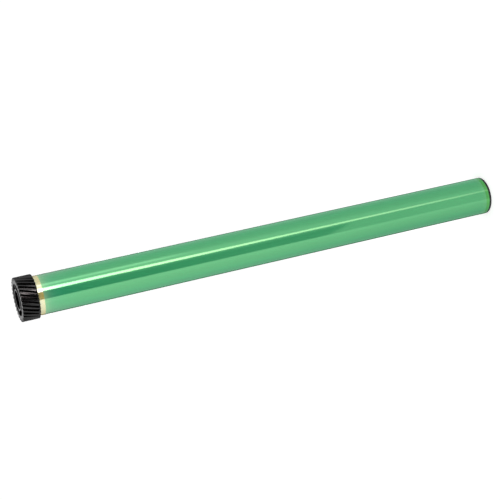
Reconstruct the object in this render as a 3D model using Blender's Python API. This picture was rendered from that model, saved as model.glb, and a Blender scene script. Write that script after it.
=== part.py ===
"""Photoconductor drum of a laser printer: coated tube, drive gear and plain end flange.

Metres, with +Z along the drum's axis. The drum stands on the rim of its end flange, whose
outer face is centred on the origin, and the gear is on top.
"""
import math

import bmesh
import bpy

MM = 0.001
TURN = 2.0 * math.pi

# Clearance between pieces that seat on or in each other
fit_gap = 0.3 * MM

# Drum tube
tube_radius = 15.0 * MM
tube_wall = 1.0 * MM
tube_length = 379.0 * MM
tube_edge_chamfer = 0.2 * MM
uncoated_band = 3.6 * MM
seat_depth = 12.0 * MM
seat_step = 0.2 * MM

# Both flanges
shaft_bore_radius = 4.0 * MM
hub_wall = 1.8 * MM
spigot_length = 11.0 * MM
spigot_wall = 1.6 * MM
spigot_lead_in = 0.6 * MM
web_thickness = 2.0 * MM
rib_width = 1.2 * MM
rib_setback = 0.4 * MM

# Helical gear, right-hand
tooth_count = 30
normal_module = 1.0 * MM
helix_angle = math.radians(18.0)
pressure_angle = math.radians(20.0)
root_clearance = 0.25
tooth_backlash = 0.04 * MM
gear_face_width = 13.2 * MM
first_tooth = math.radians(-87.0)
gear_rim_wall = 2.3 * MM
gear_rib_count = 5
socket_radius = 7.0 * MM
socket_wall = 1.2 * MM
socket_depth = 9.0 * MM

# End flange
end_rim_thickness = 1.8 * MM
end_rim_inset = 0.1 * MM
end_rim_chamfer = 0.2 * MM
end_rib_count = 6
pin_count = 3
pin_radius = 1.0 * MM
pin_head_radius = 1.8 * MM
pin_head_height = 0.8 * MM

# Ground plate
plate_thickness = 0.3 * MM
plate_margin = 2.0 * MM
plate_width = 5.3 * MM
tongue_rise = 1.2 * MM
finger_rise = 1.4 * MM
finger_reach = 0.4 * MM

# Facets
turned_steps = 96
bore_steps = 64
pin_steps = 20
flank_steps = 3
helix_steps = 5
pocket_steps = 10

# Radii and heights that follow from the sizes above
tube_bore_radius = tube_radius - tube_wall
seat_radius = tube_bore_radius + seat_step
spigot_radius = seat_radius - fit_gap
spigot_pocket_radius = spigot_radius - spigot_wall
hub_radius = shaft_bore_radius + hub_wall

tube_bottom = end_rim_thickness + fit_gap
tube_top = tube_bottom + tube_length
gear_bottom = tube_top + fit_gap
gear_top = gear_bottom + gear_face_width

transverse_module = normal_module / math.cos(helix_angle)
pitch_radius = tooth_count * transverse_module / 2.0
tip_radius = pitch_radius + normal_module
root_radius = pitch_radius - (1.0 + root_clearance) * normal_module
transverse_pressure = math.atan(math.tan(pressure_angle) / math.cos(helix_angle))
base_radius = pitch_radius * math.cos(transverse_pressure)
twist_per_metre = math.tan(helix_angle) / pitch_radius

recess_radius = root_radius - gear_rim_wall
socket_ring_radius = socket_radius + socket_wall
end_rim_radius = tube_radius - end_rim_inset
spigot_end = end_rim_thickness + spigot_length
plate_bottom = spigot_end + fit_gap
plate_radius = spigot_radius - plate_margin
plate_hole_radius = plate_radius - plate_width
pin_circle_radius = (plate_hole_radius + plate_radius) / 2.0


def clear_scene():
    for item in list(bpy.data.objects):
        bpy.data.objects.remove(item, do_unlink=True)


def plastic_or_metal(name, colour, roughness, metallic=0.0):
    material = bpy.data.materials.new(name)
    material.use_nodes = True
    shader = material.node_tree.nodes["Principled BSDF"]
    shader.inputs["Base Color"].default_value = (*colour, 1.0)
    shader.inputs["Roughness"].default_value = roughness
    shader.inputs["Metallic"].default_value = metallic
    material.diffuse_color = (*colour, 1.0)
    return material


def smooth_round_faces(mesh):
    mesh.shade_smooth()
    mesh.set_sharp_from_angle(angle=math.radians(35.0))


def object_from(name, mesh_builder, material=None):
    """Make an object from a bmesh, with its faces pointing out."""
    bmesh.ops.recalc_face_normals(mesh_builder, faces=mesh_builder.faces)
    mesh = bpy.data.meshes.new(name)
    mesh_builder.to_mesh(mesh)
    mesh_builder.free()
    smooth_round_faces(mesh)
    if material is not None:
        mesh.materials.append(material)
    item = bpy.data.objects.new(name, mesh)
    bpy.context.scene.collection.objects.link(item)
    return item


def polar(radius, angle, height):
    return (radius * math.cos(angle), radius * math.sin(angle), height)


def turned_ring(profile, steps):
    """Turn a closed (radius, height) profile, which stays clear of the axis, about +Z."""
    solid = bmesh.new()
    corners = [solid.verts.new((radius, 0.0, height)) for radius, height in profile]
    edges = [solid.edges.new((corners[i - 1], corners[i])) for i in range(len(corners))]
    bmesh.ops.spin(solid, geom=corners + edges, cent=(0, 0, 0), axis=(0, 0, 1),
                   angle=TURN, steps=steps, use_merge=True)
    return solid


def turned_plug(profile, steps, solid=None, centre=(0.0, 0.0)):
    """Stack circles given as (radius, height), lowest first, and close both ends."""
    solid = solid or bmesh.new()
    rings = []
    for radius, height in profile:
        ring = []
        for i in range(steps):
            x, y, z = polar(radius, TURN * i / steps, height)
            ring.append(solid.verts.new((centre[0] + x, centre[1] + y, z)))
        rings.append(ring)
    for lower, upper in zip(rings, rings[1:]):
        for i in range(steps):
            solid.faces.new((lower[i - 1], lower[i], upper[i], upper[i - 1]))
    solid.faces.new(reversed(rings[0]))
    solid.faces.new(rings[-1])
    return solid


def rib_pockets(inner, outer, web, rib_end, mouth, count):
    """Space between a web and an open mouth, with count straight ribs standing in it.

    The first rib points along +X. The ribs end at rib_end, short of the mouth.
    """
    solid = bmesh.new()
    half_rib = rib_width / 2.0

    def ring(radius, height):
        rib_angle = math.asin(half_rib / radius)
        points = []
        for k in range(count):
            start = TURN * k / count + rib_angle
            sweep = TURN / count - 2.0 * rib_angle
            points += [solid.verts.new(polar(radius, start + sweep * i / pocket_steps, height))
                       for i in range(pocket_steps + 1)]
        return points

    floor, ledge, top = [(ring(inner, height), ring(outer, height))
                         for height in (web, rib_end, mouth)]
    total = count * (pocket_steps + 1)
    for i in range(total):
        j = (i + 1) % total
        solid.faces.new((top[0][i], top[0][j], top[1][j], top[1][i]))
        for side in (0, 1):
            solid.faces.new((ledge[side][i], ledge[side][j], top[side][j], top[side][i]))
        if j % (pocket_steps + 1):
            solid.faces.new((floor[0][i], floor[0][j], floor[1][j], floor[1][i]))
            for side in (0, 1):
                solid.faces.new((floor[side][i], floor[side][j], ledge[side][j], ledge[side][i]))
        else:
            solid.faces.new((ledge[0][i], ledge[0][j], ledge[1][j], ledge[1][i]))
            for edge in (i, j):
                solid.faces.new((floor[0][edge], floor[1][edge], ledge[1][edge], ledge[0][edge]))
    return solid


def boolean(item, name, tool_mesh, operation):
    """Cut or join item with a tool, which apply_modifiers takes away again."""
    tool = object_from(name, tool_mesh)
    tool.hide_render = True
    tool.display_type = 'WIRE'
    step = item.modifiers.new(name, 'BOOLEAN')
    step.operation = operation
    step.solver = 'EXACT'
    step.object = tool


def apply_modifiers(item):
    """Turn the modified shape into the object's own mesh, with its new edges sharp."""
    tools = [step.object for step in item.modifiers if step.type == 'BOOLEAN']
    graph = bpy.context.evaluated_depsgraph_get()
    item.data = bpy.data.meshes.new_from_object(item.evaluated_get(graph))
    item.data.name = item.name
    item.modifiers.clear()
    smooth_round_faces(item.data)
    for tool in tools:
        bpy.data.objects.remove(tool, do_unlink=True)
    return item


def involute(angle):
    return math.tan(angle) - angle


def half_tooth_angle(radius):
    """Polar angle from a tooth's centre line to its flank at a radius."""
    at_pitch = (math.pi / 2.0) / tooth_count - tooth_backlash / (2.0 * pitch_radius)
    pressure = math.acos(min(1.0, base_radius / radius))
    return at_pitch + involute(transverse_pressure) - involute(pressure)


def tooth_outline():
    """One tooth as (radius, angle), from the root before it to the root after it."""
    base_angle = half_tooth_angle(base_radius)
    root_land = (math.pi / tooth_count - base_angle) * 0.35
    root_angle = math.pi / tooth_count - root_land
    fillet_radius = root_radius + 0.25 * (base_radius - root_radius)
    fillet_angle = base_angle + 0.3 * (root_angle - base_angle)
    rise = [(root_radius, root_angle), (fillet_radius, fillet_angle)]
    for i in range(flank_steps + 1):
        radius = base_radius + (tip_radius - base_radius) * i / flank_steps
        rise.append((radius, half_tooth_angle(radius)))
    falling = [(radius, angle) for radius, angle in reversed(rise)]
    return [(radius, -angle) for radius, angle in rise] + falling


def helical_gear_blank():
    """Toothed disc between gear_bottom and gear_top, with its helix to the right."""
    outline = [(radius, angle + TURN * k / tooth_count)
               for k in range(tooth_count) for radius, angle in tooth_outline()]
    solid = bmesh.new()
    layers = []
    for step in range(helix_steps + 1):
        height = gear_bottom + gear_face_width * step / helix_steps
        turn = first_tooth + (height - gear_top) * twist_per_metre
        layers.append([solid.verts.new(polar(radius, angle + turn, height))
                       for radius, angle in outline])
    for lower, upper in zip(layers, layers[1:]):
        for i in range(len(outline)):
            solid.faces.new((lower[i - 1], lower[i], upper[i], upper[i - 1]))
    solid.faces.new(reversed(layers[0]))
    solid.faces.new(layers[-1])
    return solid


def make_drum_tube():
    """Tube with both ends bored out for the spigots, coated up to the band at the gear."""
    inner = seat_radius
    low_step = tube_bottom + seat_depth
    high_step = tube_top - seat_depth
    profile = [
        (inner + tube_edge_chamfer, tube_bottom),
        (tube_radius - tube_edge_chamfer, tube_bottom),
        (tube_radius, tube_bottom + tube_edge_chamfer),
        (tube_radius, tube_top - uncoated_band),
        (tube_radius, tube_top - tube_edge_chamfer),
        (tube_radius - tube_edge_chamfer, tube_top),
        (inner + tube_edge_chamfer, tube_top),
        (inner, tube_top - tube_edge_chamfer),
        (inner, high_step),
        (tube_bore_radius, high_step),
        (tube_bore_radius, low_step),
        (inner, low_step),
        (inner, tube_bottom + tube_edge_chamfer),
    ]
    coat = plastic_or_metal("photoconductor_green", (0.10, 0.45, 0.17), 0.22, 0.35)
    bare = plastic_or_metal("bare_tube_cream", (0.72, 0.70, 0.42), 0.25, 0.6)
    tube = object_from("drum_tube", turned_ring(profile, turned_steps), coat)
    tube.data.materials.append(bare)
    for face in tube.data.polygons:
        middle = face.center
        coated = math.hypot(middle.x, middle.y) > inner and middle.z < tube_top - uncoated_band
        face.material_index = 0 if coated else 1
    return tube


def make_drive_gear(black):
    gear = object_from("drive_gear", helical_gear_blank(), black)

    # The spigot starts inside the gear, so that the union has no shared face
    spigot_tip = gear_bottom - spigot_length
    spigot = turned_plug([
        (spigot_radius - spigot_lead_in, spigot_tip),
        (spigot_radius, spigot_tip + spigot_lead_in),
        (spigot_radius, gear_bottom + web_thickness / 2.0),
    ], turned_steps)
    boolean(gear, "gear_spigot", spigot, 'UNION')

    # Pockets seen on the gear's face, and pockets in the spigot, open into the tube
    past_face = gear_top + fit_gap
    past_spigot = spigot_tip - fit_gap
    front = rib_pockets(socket_ring_radius, recess_radius, gear_bottom + web_thickness,
                        gear_top - rib_setback, past_face, gear_rib_count)
    boolean(gear, "gear_face_pockets", front, 'DIFFERENCE')
    back = rib_pockets(hub_radius, spigot_pocket_radius, gear_bottom,
                       spigot_tip + rib_setback, past_spigot, gear_rib_count)
    boolean(gear, "gear_spigot_pockets", back, 'DIFFERENCE')

    # Coupling socket, and the shaft bore on through the hub
    bore = turned_plug([
        (shaft_bore_radius, past_spigot),
        (shaft_bore_radius, gear_top - socket_depth),
        (socket_radius, gear_top - socket_depth),
        (socket_radius, past_face),
    ], bore_steps)
    boolean(gear, "gear_bore", bore, 'DIFFERENCE')
    return apply_modifiers(gear)


def make_end_flange(black):
    """Cup that opens outwards, with its web at the inner end, where the ground plate sits."""
    flange = object_from("end_flange", turned_plug([
        (end_rim_radius - end_rim_chamfer, 0.0),
        (end_rim_radius, end_rim_chamfer),
        (end_rim_radius, end_rim_thickness),
        (spigot_radius, end_rim_thickness),
        (spigot_radius, spigot_end - spigot_lead_in),
        (spigot_radius - spigot_lead_in, spigot_end),
    ], turned_steps), black)

    pockets = rib_pockets(hub_radius, spigot_pocket_radius, spigot_end - web_thickness,
                          rib_setback, -fit_gap, end_rib_count)
    boolean(flange, "flange_pockets", pockets, 'DIFFERENCE')
    bore = turned_plug([
        (shaft_bore_radius, -fit_gap),
        (shaft_bore_radius, spigot_end + fit_gap),
    ], bore_steps)
    boolean(flange, "flange_bore", bore, 'DIFFERENCE')

    # Pins moulded on the web, with their heads melted over the ground plate
    head_bottom = plate_bottom + plate_thickness + fit_gap
    pins = bmesh.new()
    for k in range(pin_count):
        centre = polar(pin_circle_radius, TURN * (k + 0.5) / pin_count, 0.0)
        turned_plug([
            (pin_radius, spigot_end - web_thickness / 2.0),
            (pin_radius, head_bottom),
            (pin_head_radius, head_bottom),
            (pin_head_radius * 0.9, head_bottom + pin_head_height * 0.6),
            (pin_head_radius * 0.5, head_bottom + pin_head_height),
        ], pin_steps, pins, centre[:2])
    boolean(flange, "flange_pins", pins, 'UNION')
    return apply_modifiers(flange)


def make_ground_plate():
    """Stamped ring with tongues bent up to the tube's wall and fingers bent up to the shaft."""
    tongue_radius = tube_bore_radius - fit_gap - plate_thickness
    finger_radius = shaft_bore_radius - finger_reach
    middle = plate_bottom + plate_thickness / 2.0
    steps = 16 * pin_count
    sheet = bmesh.new()
    outer = [sheet.verts.new(polar(plate_radius, TURN * i / steps, middle)) for i in range(steps)]
    inner = [sheet.verts.new(polar(plate_hole_radius, TURN * i / steps, middle)) for i in range(steps)]
    for i in range(steps):
        sheet.faces.new((inner[i - 1], inner[i], outer[i], outer[i - 1]))

    # Each tongue and finger grows from two neighbouring edges, centred between two pins
    for k in range(pin_count):
        centre = steps * k // pin_count
        roots = [(centre + step) % steps for step in (-1, 0, 1)]
        for ring, start, end, rise in ((outer, plate_radius, tongue_radius, tongue_rise),
                                       (inner, plate_hole_radius, finger_radius, finger_rise)):
            last = [ring[i] for i in roots]
            for share in (0.4, 1.0):
                radius = start + (end - start) * share
                row = []
                for vertex in last:
                    x, y = vertex.co.x, vertex.co.y
                    angle = TURN * k / pin_count
                    across = -x * math.sin(angle) + y * math.cos(angle)
                    along = math.sqrt(radius * radius - across * across)
                    spot = (along * math.cos(angle) - across * math.sin(angle),
                            along * math.sin(angle) + across * math.cos(angle),
                            middle + rise * share)
                    row.append(sheet.verts.new(spot))
                for i in (0, 1):
                    sheet.faces.new((last[i], last[i + 1], row[i + 1], row[i]))
                last = row
    metal = plastic_or_metal("spring_sheet", (0.62, 0.60, 0.56), 0.3, 1.0)
    plate = object_from("ground_plate", sheet, metal)
    thick = plate.modifiers.new("sheet_thickness", 'SOLIDIFY')
    thick.thickness = plate_thickness
    thick.offset = 0.0
    holes = bmesh.new()
    for k in range(pin_count):
        centre = polar(pin_circle_radius, TURN * (k + 0.5) / pin_count, 0.0)
        turned_plug([
            (pin_radius + fit_gap, plate_bottom - plate_thickness),
            (pin_radius + fit_gap, plate_bottom + 2.0 * plate_thickness),
        ], pin_steps, holes, centre[:2])
    boolean(plate, "plate_holes", holes, 'DIFFERENCE')
    return apply_modifiers(plate)


def main():
    clear_scene()
    black = plastic_or_metal("moulded_black", (0.015, 0.015, 0.016), 0.35)
    drum = bpy.data.objects.new("drum_unit", None)
    bpy.context.scene.collection.objects.link(drum)
    for piece in (make_drum_tube(), make_drive_gear(black), make_end_flange(black),
                  make_ground_plate()):
        piece.parent = drum


main()
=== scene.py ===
"""Looks of a laser printer's photoconductor drum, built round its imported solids.

Metres, +Z along the drum's axis from the plain end, on which it stands, to the gear.
"""

import math

import bmesh
import bpy
from mathutils import Matrix, Vector


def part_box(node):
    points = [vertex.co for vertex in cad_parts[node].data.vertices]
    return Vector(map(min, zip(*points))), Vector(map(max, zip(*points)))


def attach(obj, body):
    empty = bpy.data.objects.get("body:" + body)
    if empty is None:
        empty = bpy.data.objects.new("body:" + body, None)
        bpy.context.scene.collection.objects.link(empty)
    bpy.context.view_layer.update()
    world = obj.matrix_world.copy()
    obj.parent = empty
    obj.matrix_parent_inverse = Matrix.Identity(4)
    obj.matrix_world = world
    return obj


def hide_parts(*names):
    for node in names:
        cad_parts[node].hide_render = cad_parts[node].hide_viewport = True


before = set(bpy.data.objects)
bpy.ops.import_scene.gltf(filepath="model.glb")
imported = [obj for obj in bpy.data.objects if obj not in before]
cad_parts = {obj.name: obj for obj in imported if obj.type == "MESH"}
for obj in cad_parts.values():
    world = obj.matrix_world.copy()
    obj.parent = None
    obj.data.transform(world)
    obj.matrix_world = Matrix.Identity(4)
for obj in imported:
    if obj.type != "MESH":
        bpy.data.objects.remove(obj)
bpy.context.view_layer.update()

MM = 0.001
TURN = 2.0 * math.pi

# Places taken from the frame
tube_low, tube_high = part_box("drum_tube")
gear_low, gear_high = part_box("drive_gear")
end_low, end_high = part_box("end_flange")
plate_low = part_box("ground_plate")[0]

tube_radius = tube_high.x
tube_bottom = tube_low.z
tube_top = tube_high.z
gear_top = gear_high.z
fit_gap = 0.3 * MM
gear_bottom = tube_top + fit_gap
gear_face_width = gear_top - gear_bottom
spigot_tip = gear_low.z
end_rim_radius = end_high.x
end_rim_thickness = tube_bottom - fit_gap

# Sizes that the frame's boxes don't tell, as the solids have them
tube_wall = 1.0 * MM
seat_depth = 12.0 * MM
seat_step = 0.2 * MM
uncoated_band = 3.6 * MM
shaft_bore_radius = 4.0 * MM
hub_radius = 5.8 * MM
spigot_wall = 1.6 * MM
spigot_length = 11.0 * MM
spigot_lead_in = 0.6 * MM
web_thickness = 2.0 * MM
rib_width = 1.2 * MM
rib_setback = 0.4 * MM
gear_rib_count = 5
end_rib_count = 6
socket_radius = 7.0 * MM
socket_ring_radius = 8.2 * MM
socket_depth = 9.0 * MM
gear_rim_wall = 2.3 * MM
pin_count = 3
pin_radius = 1.0 * MM
pin_head_radius = 1.8 * MM
pin_head_height = 0.8 * MM
plate_thickness = 0.3 * MM
plate_width = 5.3 * MM
plate_margin = 2.0 * MM

# Gear teeth
tooth_count = 30
normal_module = 1.0 * MM
helix_angle = math.radians(18.0)
pressure_angle = math.radians(20.0)
root_clearance = 0.25
tooth_backlash = 0.04 * MM
first_tooth = math.radians(-87.0)

tube_bore_radius = tube_radius - tube_wall
seat_radius = tube_bore_radius + seat_step
spigot_radius = seat_radius - fit_gap
spigot_pocket_radius = spigot_radius - spigot_wall
pitch_radius = tooth_count * normal_module / math.cos(helix_angle) / 2.0
tip_radius = pitch_radius + normal_module
root_radius = pitch_radius - (1.0 + root_clearance) * normal_module
transverse_pressure = math.atan(math.tan(pressure_angle) / math.cos(helix_angle))
base_radius = pitch_radius * math.cos(transverse_pressure)
recess_radius = root_radius - gear_rim_wall
end_spigot_top = end_rim_thickness + spigot_length
pin_circle_radius = spigot_radius - plate_margin - plate_width / 2.0

# Small forms that only the looks have
tube_edge_round = 0.18 * MM
mouth_round = 0.15 * MM
tooth_tip_round = 0.10 * MM
tooth_end_round = 0.16 * MM
end_rim_chamfer = 0.2 * MM
bead_width = 2.7 * MM

# Share of a rounding's radius at which the middle of its arc lies in from both faces
arc_middle = 0.3

# How far the tube's ends reach into the gaps beside them, so that no line of light shows there
seam_cover = 0.25 * MM

# Fineness of the curves
round_steps = 192
bore_steps = 128
pin_steps = 32
pocket_steps = 24
tube_slices = 24
tooth_slices = 16
sharp_angle = math.radians(50.0)


# Materials

class Nodes:
    """Short way to write a material's or world's node tree."""

    def __init__(self, tree):
        self.tree = tree
        tree.nodes.clear()

    def add(self, kind, **settings):
        node = self.tree.nodes.new(kind)
        for name, value in settings.items():
            setattr(node, name, value)
        return node

    def link(self, source, target):
        self.tree.links.new(source, target)

    def feed(self, socket, value):
        if isinstance(value, bpy.types.NodeSocket):
            self.link(value, socket)
        else:
            socket.default_value = value

    def math(self, operation, first, second=0.0, third=0.0):
        node = self.add("ShaderNodeMath", operation=operation)
        for socket, value in zip(node.inputs, (first, second, third)):
            self.feed(socket, value)
        return node.outputs[0]

    def product(self, first, *others):
        for other in others:
            first = self.math("MULTIPLY", first, other)
        return first

    def blend(self, share, first, second):
        """Number that is first where share is 0 and second where it is 1."""
        rest = self.math("SUBTRACT", 1.0, share)
        return self.math("ADD", self.product(first, rest), self.product(second, share))

    def spread(self, value, low, high, to_low=0.0, to_high=1.0, smooth=True):
        """Map value from low..high to to_low..to_high, clamped."""
        node = self.add("ShaderNodeMapRange")
        node.interpolation_type = "SMOOTHSTEP" if smooth else "LINEAR"
        for socket, number in zip(node.inputs[:5], (value, low, high, to_low, to_high)):
            self.feed(socket, number)
        return node.outputs[0]

    def mix(self, share, first, second):
        """Colour that is first where share is 0 and second where it is 1."""
        node = self.add("ShaderNodeMix", data_type="RGBA")
        self.feed(node.inputs[0], share)
        self.feed(node.inputs[6], first)
        self.feed(node.inputs[7], second)
        return node.outputs[2]

    def noise(self, vector, scale, detail=2.0):
        node = self.add("ShaderNodeTexNoise")
        self.link(vector, node.inputs["Vector"])
        node.inputs["Scale"].default_value = scale
        node.inputs["Detail"].default_value = detail
        return node.outputs[0]

    def stretched(self, vector, scale):
        node = self.add("ShaderNodeVectorMath", operation="MULTIPLY")
        self.link(vector, node.inputs[0])
        node.inputs[1].default_value = scale
        return node.outputs[0]

    def bump(self, height, distance):
        node = self.add("ShaderNodeBump")
        node.inputs["Distance"].default_value = distance
        node.inputs["Strength"].default_value = 1.0
        self.link(height, node.inputs["Height"])
        return node.outputs[0]

    def height_of(self, place):
        node = self.add("ShaderNodeSeparateXYZ")
        self.link(place, node.inputs[0])
        return node.outputs["Z"]


def new_material(name):
    material = bpy.data.materials.new(name)
    material.use_nodes = True
    nodes = Nodes(material.node_tree)
    shader = nodes.add("ShaderNodeBsdfPrincipled")
    out = nodes.add("ShaderNodeOutputMaterial")
    nodes.link(shader.outputs[0], out.inputs["Surface"])
    place = nodes.add("ShaderNodeTexCoord").outputs["Object"]
    return material, nodes, shader, place


def photoconductor_coat():
    """Green coat on bright tube: thinner and paler towards the gear, where the paler colour is
    partly painted reflection, thicker at the plain end.
    """
    material, nodes, shader, place = new_material("photoconductor_coat")
    green = (0.041, 0.415, 0.162, 1.0)
    other_green = (0.045, 0.435, 0.170, 1.0)
    thin_coat_and_sheen_green = (0.34, 0.60, 0.34, 1.0)
    bluish_green = (0.040, 0.430, 0.235, 1.0)
    pale_green = (0.070, 0.44, 0.165, 1.0)
    edge_green = (0.014, 0.37, 0.016, 1.0)
    bluish_reach = 14.0 * MM
    thin_coat_and_sheen_reach = 3.2 * MM
    pale_reach = 5.0 * MM
    bead_fade = 0.3 * MM

    height = nodes.height_of(place)
    bead = tube_bottom + bead_width
    from_coat_end = nodes.math("SUBTRACT", height, tube_top - uncoated_band)
    streaks = nodes.noise(nodes.stretched(place, (60.0, 60.0, 6.0)), scale=4.0)
    coat = nodes.mix(nodes.spread(streaks, 0.3, 0.7, 0.0, 0.6), green, other_green)
    # Bluish, then paler towards the coat's end: the pale part is the thinner coat and painted
    # reflection in one
    for reach, tone in ((bluish_reach, bluish_green), (thin_coat_and_sheen_reach, thin_coat_and_sheen_green)):
        share = nodes.math("EXPONENT", nodes.math("DIVIDE", from_coat_end, reach))
        coat = nodes.mix(share, coat, tone)
    coat = nodes.mix(nodes.spread(height, bead + pale_reach, bead), coat, pale_green)
    coat = nodes.mix(nodes.spread(height, bead + bead_fade, bead - bead_fade), coat, edge_green)
    nodes.link(coat, shader.inputs["Base Color"])

    shader.inputs["IOR"].default_value = 2.6
    shader.inputs["Specular Tint"].default_value = (0.335, 1.0, 0.39, 1.0)
    nodes.link(nodes.spread(streaks, 0.2, 0.8, 0.028, 0.045), shader.inputs["Roughness"])
    glossy_film(shader)
    ring_marks(nodes, place, shader)
    return material


def bare_underlayer():
    """Straw-coloured underlayer of the tube, bare beside the gear."""
    material, nodes, shader, place = new_material("bare_underlayer")
    straw = (0.90, 0.72, 0.20, 1.0)
    pale_straw = (0.92, 0.75, 0.27, 1.0)
    pale_from = tube_top - 3.0 * MM
    pale_to = tube_top - 0.6 * MM

    streaks = nodes.noise(nodes.stretched(place, (90.0, 90.0, 20.0)), scale=5.0)
    tone = nodes.math("ADD", nodes.spread(nodes.height_of(place), pale_from, pale_to),
                      nodes.spread(streaks, 0.3, 0.7, -0.15, 0.15))
    nodes.link(nodes.mix(tone, straw, pale_straw), shader.inputs["Base Color"])
    shader.inputs["IOR"].default_value = 5.0
    shader.inputs["Specular Tint"].default_value = (0.90, 1.0, 0.80, 1.0)
    nodes.link(nodes.spread(streaks, 0.2, 0.8, 0.09, 0.14), shader.inputs["Roughness"])
    glossy_film(shader)
    ring_marks(nodes, place, shader)
    return material


def glossy_film(shader):
    """Clear gloss on top, as the coat and its underlayer have it."""
    shader.inputs["Coat Weight"].default_value = 1.0
    shader.inputs["Coat Roughness"].default_value = 0.025
    shader.inputs["Coat IOR"].default_value = 1.5


def ring_marks(nodes, place, shader):
    """Faint marks of the tube's turning, which show through what covers it."""
    rings = nodes.noise(nodes.stretched(place, (1.0, 1.0, 160.0)), scale=12.0)
    nodes.link(nodes.bump(rings, 0.001 * MM), shader.inputs["Normal"])


def bare_metal(name, stretch, scale, tones, roughness, depth):
    """Metal with fine marks of its making, across the axis that stretch enlarges most."""
    material, nodes, shader, place = new_material(name)
    marks = nodes.noise(nodes.stretched(place, stretch), scale, detail=4.0)
    nodes.link(nodes.mix(nodes.spread(marks, 0.3, 0.7), *tones), shader.inputs["Base Color"])
    shader.inputs["Metallic"].default_value = 1.0
    nodes.link(nodes.spread(marks, 0.2, 0.8, *roughness), shader.inputs["Roughness"])
    nodes.link(nodes.bump(marks, depth), shader.inputs["Normal"])
    return material


def turned_aluminium():
    """Bare bore and ends of the tube."""
    return bare_metal("turned_aluminium", stretch=(2.0, 2.0, 400.0), scale=30.0,
                      tones=((0.62, 0.62, 0.63, 1.0), (0.74, 0.74, 0.75, 1.0)),
                      roughness=(0.24, 0.38), depth=0.01 * MM)


def spring_sheet():
    """Rolled sheet of the ground plate."""
    return bare_metal("spring_sheet", stretch=(40.0, 900.0, 40.0), scale=3.0,
                      tones=((0.66, 0.58, 0.46, 1.0), (0.78, 0.70, 0.57, 1.0)),
                      roughness=(0.22, 0.34), depth=0.006 * MM)


def black_moulding():
    """Black acetal as moulded: smooth, a little uneven, with a soft gloss."""
    material, nodes, shader, place = new_material("black_moulding")
    black = (0.0010, 0.0008, 0.0009, 1.0)
    other_black = (0.0024, 0.0018, 0.0021, 1.0)
    cloud = nodes.noise(place, scale=180.0, detail=3.0)
    grain = nodes.noise(place, scale=4200.0)
    tone = nodes.mix(nodes.spread(cloud, 0.35, 0.65), black, other_black)
    nodes.link(tone, shader.inputs["Base Color"])
    shader.inputs["IOR"].default_value = 1.50
    nodes.link(nodes.spread(cloud, 0.3, 0.7, 0.09, 0.14), shader.inputs["Roughness"])
    nodes.link(nodes.bump(grain, 0.006 * MM), shader.inputs["Normal"])
    return material


# Shapes

def polar(radius, angle, height):
    return (radius * math.cos(angle), radius * math.sin(angle), height)


def object_from(name, mesh_builder, *materials):
    bmesh.ops.recalc_face_normals(mesh_builder, faces=mesh_builder.faces)
    mesh = bpy.data.meshes.new(name)
    mesh_builder.to_mesh(mesh)
    mesh_builder.free()
    for material in materials:
        mesh.materials.append(material)
    item = bpy.data.objects.new(name, mesh)
    bpy.context.scene.collection.objects.link(item)
    return item


def apply_modifiers(item):
    graph = bpy.context.evaluated_depsgraph_get()
    item.data = bpy.data.meshes.new_from_object(item.evaluated_get(graph))
    item.modifiers.clear()


def smooth(item):
    """Shade as smooth, with rounded edges that leave the large faces beside them flat."""
    item.data.shade_smooth()
    item.data.set_sharp_from_angle(angle=sharp_angle)
    step = item.modifiers.new("normals", 'WEIGHTED_NORMAL')
    step.weight = 90
    step.keep_sharp = True
    apply_modifiers(item)


def boolean(item, tool_mesh, operation):
    tool = object_from("tool", tool_mesh)
    step = item.modifiers.new("cut", 'BOOLEAN')
    step.operation = operation
    step.solver = 'EXACT'
    step.object = tool
    apply_modifiers(item)
    bpy.data.objects.remove(tool, do_unlink=True)


def turned_ring(profile, steps):
    """Turn a closed (radius, height) profile, which stays clear of the axis, about +Z."""
    solid = bmesh.new()
    rings = [[solid.verts.new(polar(radius, TURN * i / steps, height)) for i in range(steps)]
             for radius, height in profile]
    for k, ring in enumerate(rings):
        for i in range(steps):
            solid.faces.new((rings[k - 1][i - 1], rings[k - 1][i], ring[i], ring[i - 1]))
    return solid


def join_layers(solid, layers):
    """Join rings of corners, listed from the bottom up, and close both ends."""
    for lower, upper in zip(layers, layers[1:]):
        for i in range(len(lower)):
            solid.faces.new((lower[i - 1], lower[i], upper[i], upper[i - 1]))
    solid.faces.new(reversed(layers[0]))
    solid.faces.new(layers[-1])


def turned_plug(profile, steps, solid=None, centre=(0.0, 0.0)):
    """Stack circles given as (radius, height) and close both ends."""
    solid = solid or bmesh.new()
    layers = []
    for radius, height in profile:
        layer = []
        for i in range(steps):
            x, y, z = polar(radius, TURN * i / steps, height)
            layer.append(solid.verts.new((centre[0] + x, centre[1] + y, z)))
        layers.append(layer)
    join_layers(solid, layers)
    return solid


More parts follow.
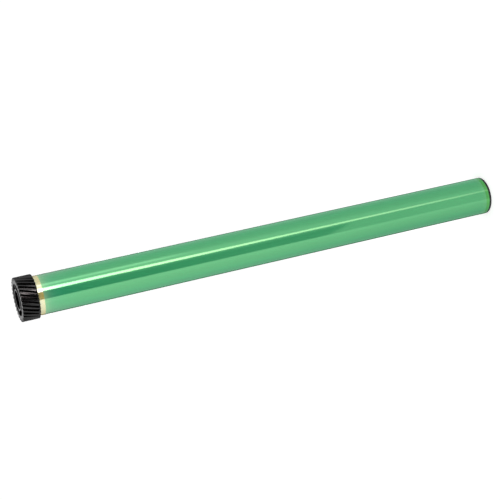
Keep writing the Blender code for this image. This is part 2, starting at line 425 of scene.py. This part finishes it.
def rib_pockets(inner, outer, web, rib_end, face, past_face, count):
    """Space between a web and an open face, with straight ribs in it and a rounded mouth."""
    solid = bmesh.new()
    half_rib = rib_width / 2.0

    def ring(radius, height):
        rib_angle = math.asin(half_rib / radius)
        points = []
        for k in range(count):
            start = TURN * k / count + rib_angle
            sweep = TURN / count - 2.0 * rib_angle
            points += [solid.verts.new(polar(radius, start + sweep * i / pocket_steps, height))
                       for i in range(pocket_steps + 1)]
        return points

    inward = math.copysign(mouth_round, rib_end - face)
    levels = [
        (web, 0.0), (rib_end, 0.0), (face + inward, 0.0),
        (face + arc_middle * inward, arc_middle * mouth_round),
        (face, mouth_round), (past_face, mouth_round),
    ]
    rings = [(ring(inner - flare, height), ring(outer + flare, height)) for height, flare in levels]
    floor, ledge, top = rings[0], rings[1], rings[-1]
    total = count * (pocket_steps + 1)
    for i in range(total):
        j = (i + 1) % total
        solid.faces.new((top[0][i], top[0][j], top[1][j], top[1][i]))
        for lower, upper in zip(rings[1:], rings[2:]):
            for side in (0, 1):
                solid.faces.new((lower[side][i], lower[side][j], upper[side][j], upper[side][i]))
        if j % (pocket_steps + 1):
            solid.faces.new((floor[0][i], floor[0][j], floor[1][j], floor[1][i]))
            for side in (0, 1):
                solid.faces.new((floor[side][i], floor[side][j], ledge[side][j], ledge[side][i]))
        else:
            solid.faces.new((ledge[0][i], ledge[0][j], ledge[1][j], ledge[1][i]))
            for edge in (i, j):
                solid.faces.new((floor[0][edge], floor[1][edge], ledge[1][edge], ledge[0][edge]))
    return solid


def rounded_profile(corners, radius, steps=3):
    """Closed profile with each of its corners rounded."""
    points = []
    for i, place in enumerate(corners):
        corner = Vector(place)
        start = Vector(corners[i - 1]) - corner
        end = Vector(corners[(i + 1) % len(corners)]) - corner
        first = corner + start.normalized() * radius
        last = corner + end.normalized() * radius
        for k in range(steps + 1):
            share = k / steps
            coming = first.lerp(corner, share)
            going = corner.lerp(last, share)
            points.append(tuple(coming.lerp(going, share)))
    return points


def make_tube():
    coat_end = tube_top - uncoated_band
    low_step = tube_bottom + seat_depth
    high_step = tube_top - seat_depth
    low_end = tube_bottom - seam_cover
    high_end = tube_top + seam_cover
    outside = [(tube_radius, low_end), (tube_radius, high_end)]
    inside = [(seat_radius, high_end), (seat_radius, high_step), (tube_bore_radius, high_step),
              (tube_bore_radius, low_step), (seat_radius, low_step), (seat_radius, low_end)]
    profile = rounded_profile(outside + inside, tube_edge_round)

    # Rings up the outside, the last of them where the coat ends
    ladder = [(tube_radius, tube_bottom + (coat_end - tube_bottom) * i / tube_slices)
              for i in range(1, tube_slices + 1)]
    top_corner = next(i for i, (radius, height) in enumerate(profile)
                      if radius > tube_bore_radius + tube_wall / 2.0 and height > coat_end)
    profile[top_corner:top_corner] = ladder
    tube = object_from("drum_tube_coated", turned_ring(profile, round_steps), photoconductor_coat(),
                       bare_underlayer(), turned_aluminium())

    # Bare metal inside and at the ends, and the underlayer where the coat has stopped
    underlayer_slot, metal_slot = 1, 2
    skin = 0.25 * MM
    for face in tube.data.polygons:
        middle = face.center
        if math.hypot(middle.x, middle.y) < tube_radius - skin:
            face.material_index = metal_slot
        elif middle.z > coat_end:
            face.material_index = underlayer_slot
    smooth(tube)
    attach(tube, "root")
    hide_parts("drum_tube")


def involute(angle):
    return math.tan(angle) - angle


def half_tooth_angle(radius):
    at_pitch = (math.pi / 2.0) / tooth_count - tooth_backlash / (2.0 * pitch_radius)
    pressure = math.acos(min(1.0, base_radius / radius))
    return at_pitch + involute(transverse_pressure) - involute(pressure)


def tooth_outline(root_steps=4, flank_steps=6):
    """One tooth as (radius, angle), with a rounded root and rounded tip edges."""
    base_angle = half_tooth_angle(base_radius)
    half_pitch = math.pi / tooth_count
    fillet_share = 0.75
    fillet = (half_pitch - base_angle) * fillet_share
    rise = []
    for i in range(root_steps):
        turn = math.pi / 2.0 * i / root_steps
        rise.append((root_radius + (base_radius - root_radius) * (1.0 - math.cos(turn)),
                     base_angle + fillet * (1.0 - math.sin(turn))))
    for i in range(flank_steps + 1):
        radius = base_radius + (tip_radius - tooth_tip_round - base_radius) * i / flank_steps
        rise.append((radius, half_tooth_angle(radius)))
    tip_angle = half_tooth_angle(tip_radius)
    corner = tooth_tip_round * arc_middle
    corner_lean = 0.4
    rise.append((tip_radius - corner, tip_angle + corner * corner_lean / tip_radius))
    rise.append((tip_radius, tip_angle - tooth_tip_round / tip_radius))
    falling = list(reversed(rise))
    return [(radius, -angle) for radius, angle in rise] + falling


def toothed_disc():
    """Helical gear blank with softened ends."""
    outline = [(radius, angle + TURN * k / tooth_count)
               for k in range(tooth_count) for radius, angle in tooth_outline()]
    twist = math.tan(helix_angle) / pitch_radius
    corner = tooth_end_round * arc_middle
    near = [(0.0, tooth_end_round), (corner, corner), (tooth_end_round, 0.0)]
    straight = [(gear_face_width * i / tooth_slices, 0.0) for i in range(1, tooth_slices)]
    far = [(gear_face_width - depth, inset) for depth, inset in reversed(near)]
    solid = bmesh.new()
    layers = []
    for rise, inset in near + straight + far:
        height = gear_bottom + rise
        turn = first_tooth + (height - gear_top) * twist
        layers.append([solid.verts.new(polar(radius - inset, angle + turn, height))
                       for radius, angle in outline])
    join_layers(solid, layers)
    return solid


def make_gear(black):
    gear = object_from("drive_gear_moulding", toothed_disc(), black)
    spigot = turned_plug([
        (spigot_radius - spigot_lead_in, spigot_tip),
        (spigot_radius, spigot_tip + spigot_lead_in),
        (spigot_radius, gear_bottom + web_thickness / 2.0),
    ], round_steps)
    boolean(gear, spigot, 'UNION')
    past_face = gear_top + fit_gap
    past_spigot = spigot_tip - fit_gap
    front = rib_pockets(socket_ring_radius, recess_radius, gear_bottom + web_thickness,
                        gear_top - rib_setback, gear_top, past_face, gear_rib_count)
    boolean(gear, front, 'DIFFERENCE')
    back = rib_pockets(hub_radius, spigot_pocket_radius, gear_bottom,
                       spigot_tip + rib_setback, spigot_tip, past_spigot, gear_rib_count)
    boolean(gear, back, 'DIFFERENCE')
    bore = turned_plug([
        (shaft_bore_radius, past_spigot),
        (shaft_bore_radius, gear_top - socket_depth),
        (socket_radius, gear_top - socket_depth),
        (socket_radius, gear_top - mouth_round),
        (socket_radius + arc_middle * mouth_round, gear_top - arc_middle * mouth_round),
        (socket_radius + mouth_round, gear_top),
        (socket_radius + mouth_round, past_face),
    ], bore_steps)
    boolean(gear, bore, 'DIFFERENCE')
    smooth(gear)
    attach(gear, "root")
    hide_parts("drive_gear")


def make_end_flange(black):
    flange = object_from("end_flange_moulding", turned_plug([
        (end_rim_radius - end_rim_chamfer, end_low.z),
        (end_rim_radius, end_low.z + end_rim_chamfer),
        (end_rim_radius, end_rim_thickness),
        (spigot_radius, end_rim_thickness),
        (spigot_radius, end_spigot_top - spigot_lead_in),
        (spigot_radius - spigot_lead_in, end_spigot_top),
    ], round_steps), black)
    pockets = rib_pockets(hub_radius, spigot_pocket_radius, end_spigot_top - web_thickness,
                          rib_setback, 0.0, -fit_gap, end_rib_count)
    boolean(flange, pockets, 'DIFFERENCE')
    bore = turned_plug([
        (shaft_bore_radius + mouth_round, -fit_gap),
        (shaft_bore_radius + mouth_round, 0.0),
        (shaft_bore_radius + arc_middle * mouth_round, arc_middle * mouth_round),
        (shaft_bore_radius, mouth_round),
        (shaft_bore_radius, end_spigot_top + fit_gap),
    ], bore_steps)
    boolean(flange, bore, 'DIFFERENCE')

    # Pins moulded on the web, with their heads melted over the ground plate
    head_bottom = plate_low.z + plate_thickness + fit_gap
    head_skirt = 0.35
    dome = []
    for degrees in range(0, 90, 10):
        turn = math.radians(degrees)
        rise = head_skirt + (1.0 - head_skirt) * math.sin(turn)
        dome.append((pin_head_radius * math.cos(turn), head_bottom + pin_head_height * rise))
    pin = [
        (pin_radius, end_spigot_top - web_thickness / 2.0),
        (pin_radius, head_bottom),
        (pin_head_radius, head_bottom),
    ] + dome
    pins = bmesh.new()
    for k in range(pin_count):
        centre = polar(pin_circle_radius, TURN * (k + 0.5) / pin_count, 0.0)[:2]
        turned_plug(pin, pin_steps, pins, centre)
    boolean(flange, pins, 'UNION')
    smooth(flange)
    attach(flange, "root")
    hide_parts("end_flange")


# Stage: floor, studio and camera

def make_floor():
    """White floor that keeps the drum's shadow and lets the studio light show in reflections."""
    floor_reach = 12.0
    solid = bmesh.new()
    bmesh.ops.create_grid(solid, x_segments=1, y_segments=1, size=floor_reach)
    floor = object_from("floor", solid)
    material = bpy.data.materials.new("white_floor")
    material.use_nodes = True
    nodes = Nodes(material.node_tree)
    path = nodes.add("ShaderNodeLightPath")
    paint = nodes.add("ShaderNodeBsdfDiffuse")
    paint.inputs["Color"].default_value = (0.82, 0.82, 0.82, 1.0)

    # Glow for the camera alone, a little stronger round the drum's foot
    foot, open_floor = 0.12, 0.45
    foot_glow, open_glow = 0.50, 0.385
    lift = nodes.add("ShaderNodeEmission")
    apart = nodes.add("ShaderNodeVectorMath", operation="LENGTH")
    nodes.link(nodes.add("ShaderNodeTexCoord").outputs["Object"], apart.inputs[0])
    glow = nodes.spread(apart.outputs["Value"], foot, open_floor, foot_glow, open_glow)
    nodes.link(nodes.product(path.outputs["Is Camera Ray"], glow), lift.inputs["Strength"])
    both = nodes.add("ShaderNodeAddShader")
    nodes.link(paint.outputs[0], both.inputs[0])
    nodes.link(lift.outputs[0], both.inputs[1])

    clear = nodes.add("ShaderNodeBsdfTransparent")
    choice = nodes.add("ShaderNodeMixShader")
    nodes.link(path.outputs["Is Glossy Ray"], choice.inputs[0])
    nodes.link(both.outputs[0], choice.inputs[1])
    nodes.link(clear.outputs[0], choice.inputs[2])
    out = nodes.add("ShaderNodeOutputMaterial")
    nodes.link(choice.outputs[0], out.inputs["Surface"])
    floor.data.materials.append(material)


def level_curve(nodes, value, levels):
    """Number that follows value through (value, level) pairs."""
    low, high = levels[0][0], levels[-1][0]
    peak = max(level for spot, level in levels)
    ramp = nodes.add("ShaderNodeFloatCurve")
    curve = ramp.mapping.curves[0]
    spots = [((spot - low) / (high - low), level / peak) for spot, level in levels]
    curve.points[0].location = spots[0]
    curve.points[1].location = spots[-1]
    for spot in spots[1:-1]:
        curve.points.new(*spot)
    ramp.mapping.update()
    nodes.link(nodes.spread(value, low, high, smooth=False), ramp.inputs["Value"])
    return nodes.product(ramp.outputs[0], peak)


def wall_level(nodes, bearing, climb):
    """Walls, brighter on both sides of the camera, and dimmer lower down."""
    high_wall = level_curve(nodes, bearing, [
        (-180.0, 0.04), (-158.0, 0.07), (-148.0, 0.24), (-138.0, 0.62), (-110.0, 1.00),
        (-90.0, 1.30), (-60.0, 1.50), (-38.0, 1.68), (-24.0, 1.60), (12.0, 1.20), (40.0, 1.63),
        (62.0, 1.10), (80.0, 0.88), (105.0, 0.82), (136.0, 0.74), (148.0, 0.48), (158.0, 0.16),
        (180.0, 0.04)])
    low_wall = level_curve(nodes, bearing, [
        (-180.0, 0.04), (-158.0, 0.07), (-148.0, 0.19), (-138.0, 0.50), (-110.0, 0.64),
        (-90.0, 0.85), (-60.0, 1.12), (-44.0, 1.30), (-34.0, 1.45), (-20.0, 1.25), (12.0, 1.00),
        (34.0, 1.12), (58.0, 0.83), (80.0, 0.755), (105.0, 0.68), (136.0, 0.68), (148.0, 0.43),
        (158.0, 0.16), (180.0, 0.04)])
    return nodes.blend(nodes.spread(climb, -13.0, -28.5, smooth=False), high_wall, low_wall)


def front_panel(nodes, bearing, climb):
    """Share and level of a panel in front, dark down to a slanting edge and grey below it."""
    share = nodes.product(nodes.spread(bearing, -32.5, -25.5), nodes.spread(bearing, 18.5, 12.0),
                          nodes.spread(climb, 14.0, 8.0))
    dark = level_curve(nodes, climb, [
        (-30.0, 0.26), (-21.6, 0.25), (-18.6, 0.21), (-15.4, 0.15), (-12.8, 0.10), (-11.4, 0.03),
        (14.0, 0.03)])

    # Lower down it is lighter towards +X and a little lighter towards -X
    dark = nodes.math("MULTIPLY_ADD", nodes.spread(bearing, 0.0, 10.0),
                      nodes.spread(climb, -11.0, -12.5, 0.0, 0.17), dark)
    dark = nodes.math("MULTIPLY_ADD", nodes.spread(bearing, -2.0, -9.0),
                      nodes.spread(climb, -15.4, -18.6, 0.0, 0.05), dark)

    grey = nodes.spread(climb, -25.0, -28.0, 0.91, 1.02)
    edge_start, edge_fall, edge_fade = -22.4, -0.76, 0.45
    edge = nodes.math("MULTIPLY_ADD", nodes.spread(bearing, -26.0, 4.0, smooth=False), edge_fall,
                      edge_start)
    above = nodes.spread(climb, nodes.math("SUBTRACT", edge, edge_fade), edge)
    return share, nodes.blend(above, grey, dark)


def strip_light(nodes, bearing, climb):
    """Level of the strip light beside the panel."""
    low_side = level_curve(nodes, climb, [
        (-30.0, 18.6), (-24.0, 18.6), (-20.5, 18.8), (-17.7, 18.4), (-15.5, 17.5), (-13.5, 17.2),
        (-12.3, 16.3), (-11.4, 15.6), (14.0, 15.6)])
    high_side = nodes.spread(climb, -11.4, -24.0, 37.8, 33.8, smooth=False)
    low_fade, high_fade = 4.5, 8.5
    from_low = nodes.spread(bearing, low_side, nodes.math("ADD", low_side, low_fade))
    from_high = nodes.spread(bearing, high_side, nodes.math("SUBTRACT", high_side, high_fade))
    power = level_curve(nodes, climb, [
        (-30.0, 0.4), (-28.7, 0.95), (-27.0, 1.52), (-24.5, 2.3), (-21.6, 2.95), (-18.6, 3.95),
        (-15.4, 5.4), (-12.8, 6.8), (-11.4, 8.0), (-10.6, 10.3), (6.0, 10.5), (14.0, 0.0)])
    return nodes.product(from_low, from_high, power)


def make_world():
    """White studio, with a strip light and a dark panel that the glossy coat reflects.

    Bearings are in degrees round the drum's axis from -Y, the side of the camera, towards +X.
    Climbs are in degrees above the horizon.
    """
    world = bpy.data.worlds.new("studio")
    bpy.context.scene.world = world
    world.use_nodes = True
    nodes = Nodes(world.node_tree)
    split = nodes.add("ShaderNodeSeparateXYZ")
    nodes.link(nodes.add("ShaderNodeTexCoord").outputs["Generated"], split.inputs[0])
    degree = math.pi / 180.0
    turned = nodes.math("ARCTAN2", split.outputs["X"], nodes.product(split.outputs["Y"], -1.0))
    bearing = nodes.math("DIVIDE", turned, degree)
    climb = nodes.math("DIVIDE", nodes.math("ARCSINE", split.outputs["Z"]), degree)
    far_side = nodes.math("ABSOLUTE", bearing)

    panel, panel_level = front_panel(nodes, bearing, climb)
    level = nodes.blend(panel, wall_level(nodes, bearing, climb), panel_level)

    # A faint light beyond the strip light, and another right behind the drum
    faint = nodes.product(nodes.spread(bearing, 44.0, 51.0), nodes.spread(bearing, 65.0, 55.0),
                          nodes.spread(climb, -17.5, -15.0), nodes.spread(climb, 14.0, 6.0))
    level = nodes.math("ADD", level, faint)
    level = nodes.math("MULTIPLY_ADD", nodes.spread(far_side, 171.0, 176.0),
                       nodes.spread(climb, -27.0, -12.0, 1.0, 4.0), level)

    # Above, plain white but dimmer behind the drum, and plain white for the camera
    behind = nodes.product(nodes.spread(far_side, 145.0, 160.0), nodes.spread(climb, 40.0, 30.0))
    dimming_behind = -0.22
    camera_white = 1.3
    seen = nodes.add("ShaderNodeLightPath").outputs["Is Camera Ray"]
    unseen = nodes.math("SUBTRACT", 1.0, seen)
    upper = nodes.math("MULTIPLY_ADD", behind, dimming_behind, 1.0)
    share = nodes.product(nodes.spread(climb, 9.0, -4.0), unseen)
    upper_share = nodes.math("SUBTRACT", unseen, share)
    above = nodes.math("MULTIPLY_ADD", upper, upper_share, nodes.product(seen, camera_white))
    plain = nodes.math("ADD", nodes.product(level, share), above)
    strip = nodes.product(strip_light(nodes, bearing, climb), share)

    # Lower down the strip light is warmer and the walls at the sides and behind are greener
    low_down = nodes.spread(climb, -11.0, -12.5)
    side = nodes.product(nodes.spread(far_side, 60.0, 102.0), low_down)
    rear = nodes.product(nodes.spread(far_side, 126.0, 140.0), low_down)
    strip_tints = (nodes.spread(climb, -12.0, -15.0, 1.08, 1.30), 0.95, 0.96)
    wall_tints = ((side, -0.17), (rear, 0.18), (rear, 0.03))
    colour = nodes.add("ShaderNodeCombineColor")
    for socket, tint, (where, change) in zip(colour.inputs, strip_tints, wall_tints):
        shade = nodes.math("MULTIPLY_ADD", where, change, 1.0)
        nodes.link(nodes.math("MULTIPLY_ADD", strip, tint, nodes.product(plain, shade)), socket)
    back = nodes.add("ShaderNodeBackground")
    nodes.link(colour.outputs[0], back.inputs["Color"])
    back.inputs["Strength"].default_value = 0.8
    out = nodes.add("ShaderNodeOutputWorld")
    nodes.link(back.outputs[0], out.inputs["Surface"])


def make_camera():
    """Camera where the photograph was taken, rolled so that the drum lies across the picture."""
    place = Vector((0.0, -1.02156, 0.56630))
    heading = math.radians(-0.1006)
    depression = math.radians(19.262)
    roll = math.radians(102.726)
    forward = Vector((math.sin(heading) * math.cos(depression),
                      math.cos(heading) * math.cos(depression), -math.sin(depression)))
    level = forward.cross(Vector((0.0, 0.0, 1.0))).normalized()
    upright = level.cross(forward)
    up = upright * math.cos(roll) + level * math.sin(roll)
    right = level * math.cos(roll) - upright * math.sin(roll)
    data = bpy.data.cameras.new("camera")
    data.lens = 100.0
    data.sensor_width = 36.0
    data.sensor_fit = 'HORIZONTAL'
    camera = bpy.data.objects.new("camera", data)
    facing = Matrix((right, up, -forward)).transposed().to_4x4()
    camera.matrix_world = Matrix.Translation(place) @ facing
    bpy.context.scene.collection.objects.link(camera)
    bpy.context.scene.camera = camera


def main():
    bpy.context.scene.view_settings.view_transform = 'Standard'
    make_camera()
    black = black_moulding()
    make_tube()
    make_gear(black)
    make_end_flange(black)
    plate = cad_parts["ground_plate"]
    plate.data.materials.clear()
    plate.data.materials.append(spring_sheet())
    make_floor()
    make_world()


main()
